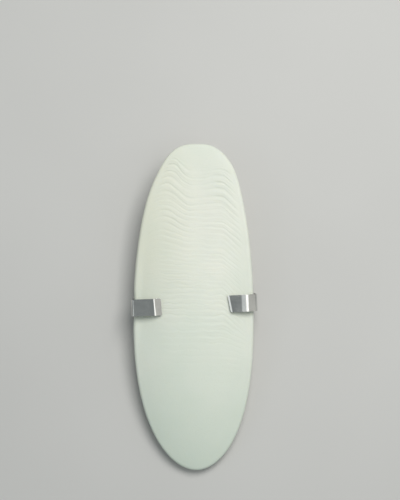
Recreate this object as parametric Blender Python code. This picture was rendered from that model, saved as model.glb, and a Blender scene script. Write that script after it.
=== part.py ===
"""A cuttlebone with the bent sheet-metal clip that holds it to a cage.

The bone lies on its back, its ledged and smooth face up, with the blunt ledged end towards +Y.
Lengths are in millimetres in the bone's own frame, with Z up out of the face, and are turned into
metres when the meshes are made. An empty then tips both pieces into the resting pose.
"""

import bmesh
import bpy
import numpy as np

MM = 0.001

# Plan of the bone
HALF_LENGTH = 63.5
HALF_WIDTH = 23.4
WIDEST_Y = -3.0
BLUNT_POWERS = (1.94, 2.76)
THIN_POWERS = (2.46, 1.94)
MIDLINE_X = -0.38
MIDLINE_BOW = 1.06
BLUNT_SWING = 0.5
BLUNT_SWING_Y = 54.0
BLUNT_SWING_SPAN = 8.0
PRESSED_DEPTH = 0.3
PRESSED_SPAN = 6.0

# Heights of the bone above the lowest line of its back
BACK_RISE_LONG = (3.3, 1.0)
BACK_RISE_BLUNT = 1.5
BACK_RISE_ACROSS = 5.5
RIB_HEIGHT = 0.28
MIDDLE_RIB_SPAN = 2.6
SIDE_RIB_X = 9.0
SIDE_RIB_SPAN = 2.4
RIM_LEVEL = 5.3
RIM_THICK_MIDDLE = 4.9
RIM_THICK_END = 2.6
RIM_WIDTH = 3.2
CROWN_HEIGHT = 4.6
CROWN_Y = -15.0
HOLLOW_POWER = 1.25
ROUND_END_POWER = 2.4
CROWN_BLEND = 0.06
EDGE_ROUND_HEIGHT = 0.55
EDGE_ROUND_SPAN = 2.4
GROOVE_DEPTH = 0.7
GROOVE_X = 2.0
GROOVE_SPAN = 3.2

# Edge of the bone: inset and share of the height of each band between face and back
FACE_INSET = 1.0
BACK_INSET = 2.0
EDGE_BANDS = ((0.3, 0.9), (0.0, 0.7), (0.15, 0.38), (0.8, 0.12))

# Ledges of the ribbed half: where each one crosses the middle and its relative size
LEDGES_Y = (
    53.6, 51.0, 48.2, 46.1, 43.1, 40.4, 38.1, 35.8, 33.8, 31.6, 29.5, 27.3, 25.6, 23.6, 21.2,
    19.6, 17.9, 16.4, 14.7, 13.0, 10.8, 9.3, 7.6, 5.5, 3.6, 1.7, -0.4, -2.7, -5.3, -8.2,
)
LEDGE_SIZES = (
    0.55, 0.7, 0.75, 0.7, 1.25, 1.0, 0.75, 0.9, 1.0, 1.15, 0.75, 0.5, 0.6, 1.0, 1.1,
    0.9, 0.7, 0.8, 0.5, 0.7, 0.7, 0.95, 0.75, 0.8, 0.7, 0.8, 0.6, 0.6, 0.5, 0.4,
)
LEDGE_HEIGHT = 0.3
LEDGE_RUN = 0.4

# Course of a ledge across the bone: crest on the left, low crest and a steady fall on the right
LEFT_CREST = 5.3
LEFT_START_X = -1.0
LEFT_RUN = 11.0
LEFT_FALL = 0.02
RIGHT_FALL_X = 11.2
RIGHT_FALL_SLOPE = 0.97
RIGHT_CREST = 0.9
RIGHT_CREST_X = 8.5
RIGHT_CREST_SPAN = 4.5

# Distances from the two ends of the plain rows there, and where the even rows stop
BLUNT_ROWS = (0.0, 0.12, 0.5, 1.3, 2.7, 4.8, 7.2)
THIN_ROWS = (11.0, 8.0, 5.4, 3.3, 1.7, 0.7, 0.15, 0.0)
EVEN_ROWS = 10
EVEN_END_Y = -49.0

# Number of strips across the face and across the back
FACE_COLUMNS = 26
BACK_COLUMNS = 16

# Clip: the middle of the sheet in the XZ plane, from the tip of the left finger to that of the right
STRIP_WIDTH = 6.5
STRIP_THICK = 0.4
STRIP_Y = 0.7
STRIP_TURN_DEG = 2.5
BACK_LEVEL = -0.95
STRIP_CORNERS = (
    (-12.1, 14.1), (-15.9, 15.2), (-24.15, 13.2), (-24.15, 3.3), (-14.5, BACK_LEVEL),
    (14.5, BACK_LEVEL), (24.1, 3.3), (24.1, 13.8), (13.7, 14.2), (12.5, 13.7),
)
STRIP_RADII = (2.6, 0.9, 2.6, 7.0, 7.0, 2.6, 5.0, 0.7)
ARC_STEP_DEG = 16.0
TIP_ROUND = 0.7
TIP_NARROWING = 0.16
WINDOW_END_X = 12.0
WINDOW_WIDTH = 3.8
TONGUE_WIDTH = 3.0
TONGUE_ROOT_X = 3.0
TONGUE_FOLD_X = 4.25
TONGUE_LOW_X = 4.55
TONGUE_CURL_X = 10.6
TONGUE_END_X = 11.4
TONGUE_DROP = 2.1
TONGUE_CURL = 0.25
TONGUE_RADII = (0.6, 0.7, 0.8)

# Pose in which the whole thing rests on its two hook tongues and the back of its thin end
TILT_DEG = 6.457
ROLL_DEG = 0.281

# Finish: colour, roughness, metal
CHALK = ((0.74, 0.77, 0.67), 0.85, 0.0)
STEEL = ((0.55, 0.55, 0.53), 0.32, 1.0)
SHARP_ANGLE_DEG = 50.0


def clear_scene():
    """Remove the objects that the empty file starts with."""
    for thing in list(bpy.data.objects):
        bpy.data.objects.remove(thing, do_unlink=True)


def smooth(t):
    """Smooth step from 0 to 1 as t goes from 0 to 1."""
    t = np.clip(t, 0.0, 1.0)
    return t * t * (3.0 - 2.0 * t)


def hill(x, middle, span):
    """A bell of height 1 over the middle."""
    return np.exp(-(((x - middle) / span) ** 2))


def reach(s):
    """Distance in Y from the widest place to the blunt end or to the thin end."""
    return np.where(s > 0.0, HALF_LENGTH - WIDEST_Y, HALF_LENGTH + WIDEST_Y)


def plan_y(s, inset):
    """Y for the run parameter s, 1 at the blunt end and -1 at the thin end."""
    return WIDEST_Y + s * (reach(s) - inset)


def run_of(y):
    """The run parameter s of a Y on the full outline."""
    return np.clip((y - WIDEST_Y) / reach(y - WIDEST_Y), -1.0, 1.0)


def half_width(s, inset):
    """Half width of the plan: one superellipse for each end."""
    a = np.abs(s)
    blunt = np.maximum(1.0 - a ** BLUNT_POWERS[0], 0.0) ** (1.0 / BLUNT_POWERS[1])
    thin = np.maximum(1.0 - a ** THIN_POWERS[0], 0.0) ** (1.0 / THIN_POWERS[1])
    return (HALF_WIDTH - inset) * np.where(s > 0.0, blunt, thin)


def midline(y):
    """X of the middle line: bowed a little to the left, and back again near the blunt end."""
    bow = MIDLINE_BOW * (y / HALF_LENGTH) ** 2
    return MIDLINE_X + bow + BLUNT_SWING * hill(y, BLUNT_SWING_Y, BLUNT_SWING_SPAN)


def plan_x(s, y, u, inset):
    """X across the plan, u from -1 to 1, the left edge pressed in a little where the clip holds it."""
    under_clip = np.exp(-(((y - STRIP_Y + 1.0) / PRESSED_SPAN) ** 4))
    pressed = PRESSED_DEPTH * under_clip * np.clip(-u, 0.0, 1.0) ** 3
    return midline(y) + u * half_width(s, inset) + pressed


def wave(x, y):
    """Shift in Y of the ledge line that crosses the middle at y.

    From the middle groove it climbs by a smooth step to a crest on the left. On the right it falls
    away from a low crest at a steady slope. Both shifts fade out towards the ends of the bone.
    """
    end = 1.0 - hill(y, HALF_LENGTH, 3.0)
    left_size = LEFT_CREST * smooth((y - 5.0) / 38.0) * (1.0 - smooth((y - 53.0) / 9.5))
    left = smooth((LEFT_START_X - x) / LEFT_RUN)
    left = left - LEFT_FALL * np.maximum(LEFT_START_X - LEFT_RUN - 0.5 - x, 0.0) ** 2
    right_size = smooth((HALF_LENGTH - y) / 12.0) * smooth((y + 28.0) / 36.0)
    out = x - RIGHT_FALL_X
    right = -0.5 * RIGHT_FALL_SLOPE * (np.sqrt(out**2 + 0.6) + out)
    right = right + RIGHT_CREST * hill(x, RIGHT_CREST_X, RIGHT_CREST_SPAN) * smooth((y - 30.0) / 14.0)
    return end * (left_size * left + right_size * right)


def back_height(x, y):
    """Height of the hard curved back, with three faint lengthwise ribs."""
    t = y / HALF_LENGTH
    across = x - midline(y)
    bowl = BACK_RISE_LONG[0] * t**2 + BACK_RISE_LONG[1] * t**4
    bowl = bowl + BACK_RISE_BLUNT * np.maximum(t, 0.0) ** 3
    bowl = bowl + BACK_RISE_ACROSS * (across / HALF_WIDTH) ** 2
    ribs = hill(across, 0.0, MIDDLE_RIB_SPAN) + hill(np.abs(across), SIDE_RIB_X, SIDE_RIB_SPAN)
    return bowl - RIB_HEIGHT * ribs * (1.0 - t**2)


def rim_height(y):
    """Height of the upper edge of the rim, thickest in the middle."""
    drop = (RIM_THICK_MIDDLE - RIM_THICK_END) * run_of(y) ** 2
    return RIM_LEVEL + RIM_THICK_MIDDLE - drop


def edge_distance(x, y):
    """Distance in from the outline, true near it and large in the middle."""
    s = run_of(y)
    side = np.abs(x - midline(y)) / HALF_WIDTH
    p = np.where(s > 0.0, BLUNT_POWERS[0], THIN_POWERS[0])
    q = np.where(s > 0.0, BLUNT_POWERS[1], THIN_POWERS[1])
    level = 1.0 - np.abs(s) ** p - side**q
    steep = np.hypot(p * np.abs(s) ** (p - 1.0) / reach(s), q * side ** (q - 1.0) / HALF_WIDTH)
    return np.maximum(level, 0.0) / (steep + 1e-5)


def crown(x, y):
    """Height of the face over its rim: a long hump, hollowing towards the blunt end."""
    s = (y - WIDEST_Y) / (reach(y - WIDEST_Y) - RIM_WIDTH)
    inside = np.clip(s, -1.0, 1.0)
    across = (x - midline(y)) / np.maximum(half_width(inside, RIM_WIDTH), 0.3)
    peak = (CROWN_Y - WIDEST_Y) / (HALF_LENGTH + WIDEST_Y - RIM_WIDTH)
    behind = np.clip((inside - peak) / (1.0 - peak), 0.0, 1.0)
    ahead = np.clip((peak - inside) / (1.0 + peak), 0.0, 1.0)
    hollow = (0.5 + 0.5 * np.cos(np.pi * behind)) ** HOLLOW_POWER
    round_end = 1.0 - ahead**ROUND_END_POWER
    size = CROWN_HEIGHT * np.where(inside > peak, hollow, round_end)
    dome = size * np.maximum(1.0 - across**2, -0.6)
    return 0.5 * (dome + np.sqrt(dome**2 + CROWN_BLEND))


def face_height(x, y):
    """Height of the face without its ledges."""
    edge = EDGE_ROUND_HEIGHT * (1.0 - np.exp(-edge_distance(x, y) / EDGE_ROUND_SPAN))
    groove = GROOVE_DEPTH * hill(x, GROOVE_X, GROOVE_SPAN)
    groove = groove * smooth((HALF_LENGTH - 2.5 - y) / 9.0) * smooth((y - 4.0) / 22.0)
    return rim_height(y) + crown(x, y) + edge - groove


def row_plan():
    """Y and ledge lift of every row, from the blunt end to the thin end: foot and lip of each ledge."""
    rows = [(HALF_LENGTH - d, 0.0) for d in BLUNT_ROWS]
    for y, size in zip(LEDGES_Y, LEDGE_SIZES):
        lift = 0.5 * size * (0.3 + 0.7 * smooth((y - 2.0) / 38.0))
        rows.append((y, -lift))
        rows.append((y - LEDGE_RUN, lift))
    last = rows[-1][0]
    rows += [(y, 0.0) for y in np.linspace(last, EVEN_END_Y, EVEN_ROWS + 1)[1:]]
    rows += [(-HALF_LENGTH + d, 0.0) for d in THIN_ROWS]
    return np.array(rows)


def face_grid(rows, inset):
    """Plan points and heights of the face: one row per entry of rows, from the left rim to the right."""
    u = np.linspace(-1.0, 1.0, FACE_COLUMNS + 1)[None, :]
    base = rows[:, 0][:, None]
    lift = rows[:, 1][:, None]
    nominal = u * half_width(run_of(base), inset)
    s = run_of(base + wave(nominal, base))
    y = plan_y(s, inset)
    x = plan_x(s, y, u, inset)
    fade = smooth((0.94 - np.abs(u)) / 0.14)
    z = face_height(x, y) + LEDGE_HEIGHT * lift * fade
    return s, np.stack([x, y, z], axis=-1)


def build_bone():
    """The bone as one closed body: face grid, bands round the edge and back grid."""
    rows = row_plan()
    s_face, face = face_grid(rows, FACE_INSET)
    s_left, s_right = s_face[:, 0], s_face[:, -1]
    u = np.linspace(-1.0, 1.0, BACK_COLUMNS + 1)[None, :]
    s_back = 0.5 * (1.0 - u) * s_left[:, None] + 0.5 * (1.0 + u) * s_right[:, None]
    y = plan_y(s_back, BACK_INSET)
    x = plan_x(s_back, y, u, BACK_INSET)
    back = np.stack([x, y, back_height(x, y)], axis=-1)

    count = len(rows)
    points = []

    def grid_ids(grid):
        """Vertex numbers of a grid whose first and last rows are single points."""
        ids = np.zeros(grid.shape[:2], dtype=int)
        for i in range(count):
            if i in (0, count - 1):
                points.append(grid[i].mean(axis=0))
                ids[i, :] = len(points) - 1
            else:
                ids[i, :] = np.arange(len(points), len(points) + grid.shape[1])
                points.extend(grid[i])
        return ids

    def loop_of(grid):
        """The closed edge of a grid: down its right side, then up its left side."""
        right = [grid[i, -1] for i in range(1, count - 1)]
        left = [grid[i, 0] for i in range(count - 2, 0, -1)]
        return [grid[0, 0], *right, grid[count - 1, 0], *left]

    face_ids = grid_ids(face)
    back_ids = grid_ids(back)
    top_loop = loop_of(face_ids)
    low_loop = loop_of(back_ids)
    top_points = np.array([points[i] for i in top_loop])
    low_points = np.array([points[i] for i in low_loop])
    s_loop = np.concatenate([[s_right[0]], s_right[1:-1], [s_right[-1]], s_left[-2:0:-1]])
    side = np.concatenate([[0.0], np.ones(count - 2), [0.0], -np.ones(count - 2)])

    loops = [top_loop]
    for inset, part in EDGE_BANDS:
        ring_y = plan_y(s_loop, inset)
        ring_x = plan_x(s_loop, ring_y, side, inset)
        ring_z = low_points[:, 2] + part * (top_points[:, 2] - low_points[:, 2])
        start = len(points)
        points.extend(np.stack([ring_x, ring_y, ring_z], axis=-1))
        loops.append(list(range(start, start + len(s_loop))))
    loops.append(low_loop)

    faces = []

    def fill(ids, turned):
        """Faces of a grid, facing down if turned."""
        for i in range(count - 1):
            for j in range(ids.shape[1] - 1):
                quad = [ids[i, j], ids[i + 1, j], ids[i + 1, j + 1], ids[i, j + 1]]
                ring = [v for k, v in enumerate(quad) if v != quad[k - 1]]
                faces.append(ring[::-1] if turned else ring)

    fill(face_ids, False)
    fill(back_ids, True)
    for upper, lower in zip(loops, loops[1:]):
        for k in range(len(upper)):
            n = (k + 1) % len(upper)
            faces.append([upper[k], upper[n], lower[n], lower[k]])
    return np.array(points), faces


def rounded_path(corners, radii):
    """Polyline through the corners with each inner corner replaced by an arc of its radius."""
    corners = np.array(corners, dtype=float)
    out = [corners[0]]
    for k in range(1, len(corners) - 1):
        a = corners[k - 1] - corners[k]
        b = corners[k + 1] - corners[k]
        a = a / np.linalg.norm(a)
        b = b / np.linalg.norm(b)
        half = 0.5 * np.arccos(np.clip(a @ b, -1.0, 1.0))
        radius = radii[k - 1]
        cut = radius / np.tan(half)
        middle = corners[k] + (a + b) / np.linalg.norm(a + b) * radius / np.sin(half)
        first = corners[k] + a * cut - middle
        turn = np.pi - 2.0 * half
        sign = np.sign(a[1] * b[0] - a[0] * b[1])
        steps = max(2, int(np.ceil(turn / np.radians(ARC_STEP_DEG))))
        for n in range(steps + 1):
            angle = sign * turn * n / steps
            c, s = np.cos(angle), np.sin(angle)
            out.append(middle + np.array([c * first[0] - s * first[1], s * first[0] + c * first[1]]))
    out.append(corners[-1])
    return np.array(out)


def split_at(path, marks):
    """Add a point to the lowest span of the path at each marked X."""
    for mark in marks:
        for k in range(len(path) - 1):
            low = path[k][1] < 0.0 and path[k + 1][1] < 0.0
            if low and path[k][0] < mark - 1e-6 and path[k + 1][0] > mark + 1e-6:
                t = (mark - path[k][0]) / (path[k + 1][0] - path[k][0])
                path = np.insert(path, k + 1, path[k] + t * (path[k + 1] - path[k]), axis=0)
                break
    return path


def path_normals(path):
    """Unit normals of a path in the XZ plane, turned to the left of its direction."""
    step = np.diff(path, axis=0)
    step = step / np.linalg.norm(step, axis=1)[:, None]
    mean = np.vstack([step[:1], step[:-1] + step[1:], step[-1:]])
    mean = mean / np.linalg.norm(mean, axis=1)[:, None]
    return np.stack([-mean[:, 1], mean[:, 0]], axis=1)


def tip_taper(path, both_ends):
    """Share of the full width at each point: the corners of a cut end are a little rounded."""
    gap = np.r_[0.0, np.cumsum(np.linalg.norm(np.diff(path, axis=0), axis=1))]
    left = gap[-1] - gap
    if both_ends:
        left = np.minimum(left, gap)
    return 1.0 - TIP_NARROWING * np.maximum(1.0 - left / TIP_ROUND, 0.0) ** 2


def build_clip():
    """The clip as one closed body: a strip with two windows, and the tongue pushed out of each."""
    path = rounded_path(STRIP_CORNERS, STRIP_RADII)
    ends = [path[0] + (path[1] - path[0]) * t for t in (0.1, 0.22)]
    path = np.vstack([path[:1], ends, path[1:]])
    window = (-WINDOW_END_X, -TONGUE_ROOT_X, TONGUE_ROOT_X, WINDOW_END_X)
    path = split_at(path, window)
    levels = np.array([-0.5 * STRIP_WIDTH, -0.5 * WINDOW_WIDTH, -0.5 * TONGUE_WIDTH])
    levels = np.concatenate([levels, -levels[::-1]])

    base, normal = [], []

    def add_sheet(line, across):
        """Add one row of sheet points per path point and return their numbers."""
        turned = path_normals(line)
        ids = np.zeros((len(line), across.shape[1]), dtype=int)
        for i, (point, n) in enumerate(zip(line, turned)):
            for j, v in enumerate(across[i]):
                ids[i, j] = len(base)
                base.append((point[0], v, point[1]))
                normal.append((n[0], 0.0, n[1]))
        return ids

    strip = add_sheet(path, tip_taper(path, True)[:, None] * levels[None, :])
    cells = []
    in_back = path[:, 1] < 0.0
    for i in range(len(path) - 1):
        middle = 0.5 * (path[i, 0] + path[i + 1, 0])
        open_here = in_back[i] and in_back[i + 1] and TONGUE_ROOT_X < abs(middle) < WINDOW_END_X
        for j in range(5):
            if open_here and j in (1, 2, 3):
                continue
            cells.append([strip[i, j], strip[i + 1, j], strip[i + 1, j + 1], strip[i, j + 1]])

    drop = BACK_LEVEL - TONGUE_DROP
    hook = (
        (TONGUE_ROOT_X, BACK_LEVEL), (TONGUE_FOLD_X, BACK_LEVEL), (TONGUE_LOW_X, drop),
        (TONGUE_CURL_X, drop), (TONGUE_END_X, drop + TONGUE_CURL),
    )
    for hand in (-1.0, 1.0):
        line = rounded_path(hook, TONGUE_RADII)
        line[:, 0] *= hand
        half = 0.5 * TONGUE_WIDTH * tip_taper(line, False)
        if hand < 0.0:
            line = line[::-1]
            half = half[::-1]
        ids = add_sheet(line, np.stack([-half, half], axis=1))
        root = int(np.argmin(np.abs(path[:, 0] - hand * TONGUE_ROOT_X) + 100.0 * (path[:, 1] > 0.0)))
        end = len(line) - 1 if hand < 0.0 else 0
        ids[end] = strip[root, 2], strip[root, 3]
        for i in range(len(line) - 1):
            cells.append([ids[i, 0], ids[i + 1, 0], ids[i + 1, 1], ids[i, 1]])

    base = np.array(base)
    normal = np.array(normal)
    upper = base + 0.5 * STRIP_THICK * normal
    lower = base - 0.5 * STRIP_THICK * normal
    count = len(base)
    faces = []
    edges = {}
    for cell in cells:
        faces.append(list(cell))
        faces.append([v + count for v in cell[::-1]])
        for k in range(4):
            edges[(cell[k], cell[(k + 1) % 4])] = True
    for a, b in edges:
        if (b, a) not in edges:
            faces.append([b, a, a + count, b + count])
    points = np.vstack([upper, lower])
    used = sorted({v for f in faces for v in f})
    number = {v: k for k, v in enumerate(used)}
    faces = [[number[v] for v in f] for f in faces]
    return points[used], faces


def make_material(name, color, rough, metal):
    """A plain Principled material."""
    material = bpy.data.materials.new(name)
    material.use_nodes = True
    shader = material.node_tree.nodes["Principled BSDF"]
    shader.inputs["Base Color"].default_value = (*color, 1.0)
    shader.inputs["Roughness"].default_value = rough
    shader.inputs["Metallic"].default_value = metal
    material.diffuse_color = (*color, 1.0)
    return material


def make_object(name, points, faces, material):
    """A named mesh object in metres, its faces turned outwards."""
    mesh = bpy.data.meshes.new(name)
    mesh.from_pydata((points * MM).tolist(), [], [[int(v) for v in f] for f in faces])
    work = bmesh.new()
    work.from_mesh(mesh)
    bmesh.ops.triangulate(work, faces=work.faces[:])
    bmesh.ops.recalc_face_normals(work, faces=work.faces[:])
    work.to_mesh(mesh)
    work.free()
    mesh.polygons.foreach_set("use_smooth", [True] * len(mesh.polygons))
    mesh.set_sharp_from_angle(angle=np.radians(SHARP_ANGLE_DEG))
    mesh.materials.append(material)
    thing = bpy.data.objects.new(name, mesh)
    bpy.context.scene.collection.objects.link(thing)
    return thing


def lay_down(pieces):
    """Hang the pieces on an empty tipped into the resting pose, the middle of their box over the origin."""
    rest = bpy.data.objects.new("rest", None)
    bpy.context.scene.collection.objects.link(rest)
    rest.rotation_euler = (np.radians(TILT_DEG), np.radians(ROLL_DEG), 0.0)
    for piece in pieces:
        piece.parent = rest
    bpy.context.view_layer.update()
    corners = np.array([piece.matrix_world @ v.co for piece in pieces for v in piece.data.vertices])
    low, high = corners.min(axis=0), corners.max(axis=0)
    rest.location = (-0.5 * (low[0] + high[0]), -0.5 * (low[1] + high[1]), -low[2])


def main():
    """Build both pieces and lay them down together."""
    clear_scene()
    bone = make_object("bone", *build_bone(), make_material("chalk", *CHALK))
    clip = make_object("clip", *build_clip(), make_material("steel", *STEEL))
    clip.location = (0.0, STRIP_Y * MM, 0.0)
    clip.rotation_euler = (0.0, 0.0, np.radians(STRIP_TURN_DEG))
    lay_down((bone, clip))


main()
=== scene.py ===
"""Looks of a cuttlebone and the bent metal clip round it, on a pale floor under soft studio light.

Lengths are in millimetres in the bone's own frame: Y runs along the bone towards its blunt, ledged
end and Z up out of its face. rest() turns that frame into the resting pose, in metres.
"""

import bpy
import numpy as np
from mathutils import Matrix, Vector


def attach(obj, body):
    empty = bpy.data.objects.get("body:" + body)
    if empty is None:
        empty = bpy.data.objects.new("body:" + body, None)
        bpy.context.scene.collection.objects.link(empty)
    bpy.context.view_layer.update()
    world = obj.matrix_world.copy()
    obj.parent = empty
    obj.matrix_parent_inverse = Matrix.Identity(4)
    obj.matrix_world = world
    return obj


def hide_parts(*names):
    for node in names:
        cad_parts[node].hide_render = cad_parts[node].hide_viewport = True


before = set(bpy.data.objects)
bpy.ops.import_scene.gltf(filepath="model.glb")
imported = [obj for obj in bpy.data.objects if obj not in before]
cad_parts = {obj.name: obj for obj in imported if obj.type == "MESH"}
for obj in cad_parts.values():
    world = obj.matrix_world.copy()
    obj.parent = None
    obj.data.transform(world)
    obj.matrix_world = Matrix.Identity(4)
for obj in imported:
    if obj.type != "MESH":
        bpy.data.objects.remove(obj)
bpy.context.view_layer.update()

MM = 0.001
TINY = 1e-5
NO_TRIS = np.empty((0, 3), dtype=int)

# Where a name ends in X, Y or SHARE and holds a pair, a change begins at the first place and is full
# at the second. Where BELL stands before that ending, the pair is the middle of a bell and its span.
# A factor on y in a call of drift() draws the pattern out across the bone or along it.

# Slow wandering: how many waves, their sizes as shares of the size asked for, and what evens out the sum
DRIFT_WAVES = 7
DRIFT_SIZES = (0.6, 1.7)
DRIFT_DIVISOR = 3.2

# Plan of the bone
HALF_LENGTH = 63.44
HALF_WIDTH = 23.38
WIDEST_Y = -3.0
BLUNT_POWERS = (1.94, 2.76)
THIN_POWERS = (2.46, 1.94)
MIDLINE_X = -0.38
MIDLINE_BOW = 1.06
BLUNT_SWING = 0.5
BLUNT_SWING_BELL_Y = (54.0, 8.0)
PRESSED_DEPTH = 0.3
PRESSED_Y = -0.1
PRESSED_SPAN = 6.0

# Heights of the bone over the lowest line of its back
BACK_RISE_LONG = 3.3
BACK_RISE_ENDS = 1.0
BACK_RISE_BLUNT = 1.5
BACK_RISE_ACROSS = 5.5
BACK_LIFT = 0.03
RIB_HEIGHT = 0.28
MIDDLE_RIB_BELL_X = (0.0, 2.6)
SIDE_RIB_BELL_X = (9.0, 2.4)
RIM_LEVEL = 5.3
RIM_THICK_MIDDLE = 4.9
RIM_THICK_END = 2.6
RIM_WIDTH = 3.2
RIM_NARROWING = 2.3
RIM_NARROWING_Y = (-4.0, -24.0)
CROWN_HEIGHT = 4.6
CROWN_Y = -15.0
CROWN_LEAST = -0.6
CROWN_BLEND = 0.06
CROWN_BLEND_MORE = 0.44
CROWN_BLEND_MORE_Y = (4.0, -18.0)
HOLLOW_POWER = 1.25
ROUND_END_POWER = 2.4
LEAST_HALF_WIDTH = 0.3
EDGE_ROUND_HEIGHT = 0.55
EDGE_ROUND_SPAN = 2.4
GROOVE_DEPTH = 0.32
GROOVE_BELL_X = (2.0, 4.2)
GROOVE_BLUNT_Y = (61.0, 52.0)
GROOVE_THIN_Y = (4.0, 26.0)
SWELL_HEIGHT = 0.07
SWELL_MARGIN = 4.0

# Edge of the bone: inset and share of the height of each band between the back and the face
FACE_INSET = 1.0
BACK_INSET = 2.0
EDGE_BANDS = ((0.62, 0.965), (0.35, 0.91), (0.16, 0.84), (0.03, 0.76), (0.05, 0.7), (0.0, 0.63),
              (0.05, 0.56), (0.04, 0.49), (0.15, 0.41), (0.23, 0.33), (0.44, 0.24), (0.7, 0.16),
              (1.15, 0.07))
RIPPLE_DEPTH = 0.035
RIPPLE_SHIFT = 40.0
FINE_RIPPLE_DEPTH = 0.03
FINE_RIPPLE_SHIFT = 9.0

# What the material of the bone is told: where it is ledged, hard, layered or at the seam
LEDGED_SHARE = (0.93, 0.77)
LEDGED_THIN_Y = (-14.0, 20.0)
LEDGED_BLUNT_Y = (59.0, 53.0)
HARD_BACK_SHARE = (0.45, 0.0)
LAYERS_MIDDLE = 0.5
LAYERS_SPAN = 0.52
LAYERS_TILT = 0.11
LAYERS_STRETCH = 0.03
SEAM_BELL_SHARE = (0.37, 0.08)
BACK_ARC_BEND = 0.025
CM_PER_MM = 0.1

# Ledges of the ribbed half: where each crosses the middle, and the shape of one
LEDGES_Y = (53.6, 51.0, 48.2, 46.1, 43.1, 40.4, 38.1, 35.8, 33.8, 31.6, 29.5, 27.3, 25.6, 23.6, 21.2, 19.6,
            17.9, 16.4, 14.7, 13.0, 10.8, 9.3, 7.6, 5.5, 3.6, 1.7, -0.4, -2.7, -5.3, -8.2)
LEDGE_SIZES = (0.55, 0.7, 0.75, 0.7, 1.25, 1.0, 0.75, 0.9, 1.0, 1.15, 0.75, 0.5, 0.6, 1.0, 1.1, 0.9,
               0.7, 0.8, 0.5, 0.7, 0.7, 0.95, 0.75, 0.8, 0.7, 0.8, 0.6, 0.6, 0.5, 0.4)
OUTER_PITCH = 2.6
RIDGE_HEIGHT = 0.15
RIDGE_POWER = 0.85
STRONG_MEAN = 0.95
STRONG_DRIFT = 0.4
STRONG_LIMITS = (0.2, 1.4)
FINE_MEAN = 0.5
FINE_DRIFT = 0.6
FINE_LIMITS = (0.0, 1.2)
FINE_HEIGHT = 0.16
FINE_SWAY = 1.5
FINE_SHADE = 0.25
SHADE_WIDTH = 0.55

# Course of a ledge across the bone: a crest on the left, a low crest and a steady fall on the right
COURSE_END_SPAN = 3.0
LEFT_CREST = 5.3
LEFT_CREST_Y = (5.0, 43.0)
LEFT_CREST_END_Y = (53.0, 62.5)
LEFT_CLIMB_X = (-1.0, -12.0)
LEFT_FALL = 0.02
LEFT_FALL_X = -12.5
RIGHT_FALL_SLOPE = 0.97
RIGHT_FALL_X = 11.2
RIGHT_FALL_BEND = 0.6
RIGHT_BLUNT_Y = (HALF_LENGTH, HALF_LENGTH - 12.0)
RIGHT_THIN_Y = (-28.0, 8.0)
RIGHT_CREST = 0.9
RIGHT_CREST_BELL_X = (8.5, 4.5)
RIGHT_CREST_Y = (30.0, 44.0)

# Strength of the ledges from place to place
EDGE_FADE_SHARE = (0.95, 0.82)
RIGHT_EDGE_LOSS = 0.4
RIGHT_EDGE_X = (14.5, 18.5)
BASE_STRENGTH = 0.6
BLUNT_GAIN = 0.6
BLUNT_GAIN_Y = (8.0, 42.0)
FAINT_GAIN = 0.5
FAINT_BELL_Y = (-9.0, 9.0)
LEDGES_THIN_Y = (-42.0, 0.0)
LEDGES_BLUNT_Y = (56.5, 51.5)
MIDDLE_LOSS = 0.1
MIDDLE_LOSS_MORE = 0.62
MIDDLE_LOSS_MORE_Y = (5.0, 14.0)
MIDDLE_BELL_X = (1.5, 3.3)
LEFT_TOP_GAIN = 0.7
LEFT_TOP_X = (-1.0, -5.0)
LEFT_TOP_Y = (43.0, 49.0)
RIGHT_LOW_GAIN = 0.6
RIGHT_LOW_X = (2.0, 6.0)
RIGHT_LOW_Y = (2.0, -6.0)
RIGHT_TOP_X = (6.5, 9.5)
RIGHT_TOP_GAIN = 0.7
RIGHT_TOP_Y = (38.0, 47.0)
RIGHT_DIP = 0.35
RIGHT_DIP_BELL_Y = (23.0, 7.0)
FLANK_LOSS = 0.93
FLANK_X = (-10.5, -15.0)
FLANK_RETURN = 0.45
FLANK_RETURN_Y = (26.0, 40.0)
CREST_LOSS = 0.35
CREST_BELL_X = (6.0, 2.0)
CREST_Y = (12.0, 20.0)
SLOPE_LOSS = 0.33
SLOPE_BELL_X = (-5.4, 2.3)
SLOPE_BELL_Y = (37.0, 6.5)

# Wandering of the ledges to and fro along the bone
SLOW_WANDER = 0.3
QUICK_WANDER = 0.12
QUICK_WANDER_MORE = 0.16
QUICK_WANDER_Y = (26.0, 6.0)
STILL_END = 9.0

# Rows and columns of the two grids; the blunt rows are distances from the blunt end
FACE_COLUMNS = 132
BACK_COLUMNS = 52
BLUNT_ROWS = (0.0, 0.03, 0.12, 0.3, 0.55, 0.9, 1.35, 1.9, 2.6, 3.4, 4.3, 5.3, 6.4)
CLOSE_ROWS_FROM = 7.3
CLOSE_ROWS_PAST = 2.0
CLOSE_GAP = 0.2
FAINT_GAP = 0.4
FAINT_ROWS_Y = -40.0
PLAIN_ROWS_Y = -50.0
PLAIN_ROWS = 16
THIN_ROWS = 26

# Clip
STRIP_WIDTH = 6.5
STRIP_THICK = 0.4
STRIP_Y = 0.9
STRIP_TURN = np.radians(2.5)
BACK_LEVEL = -0.95
FLAT_MARGIN = 0.1
DENT_DEPTH = 0.015
WINDOW_END_X = 12.0
WINDOW_WIDTH = 3.8

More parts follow.
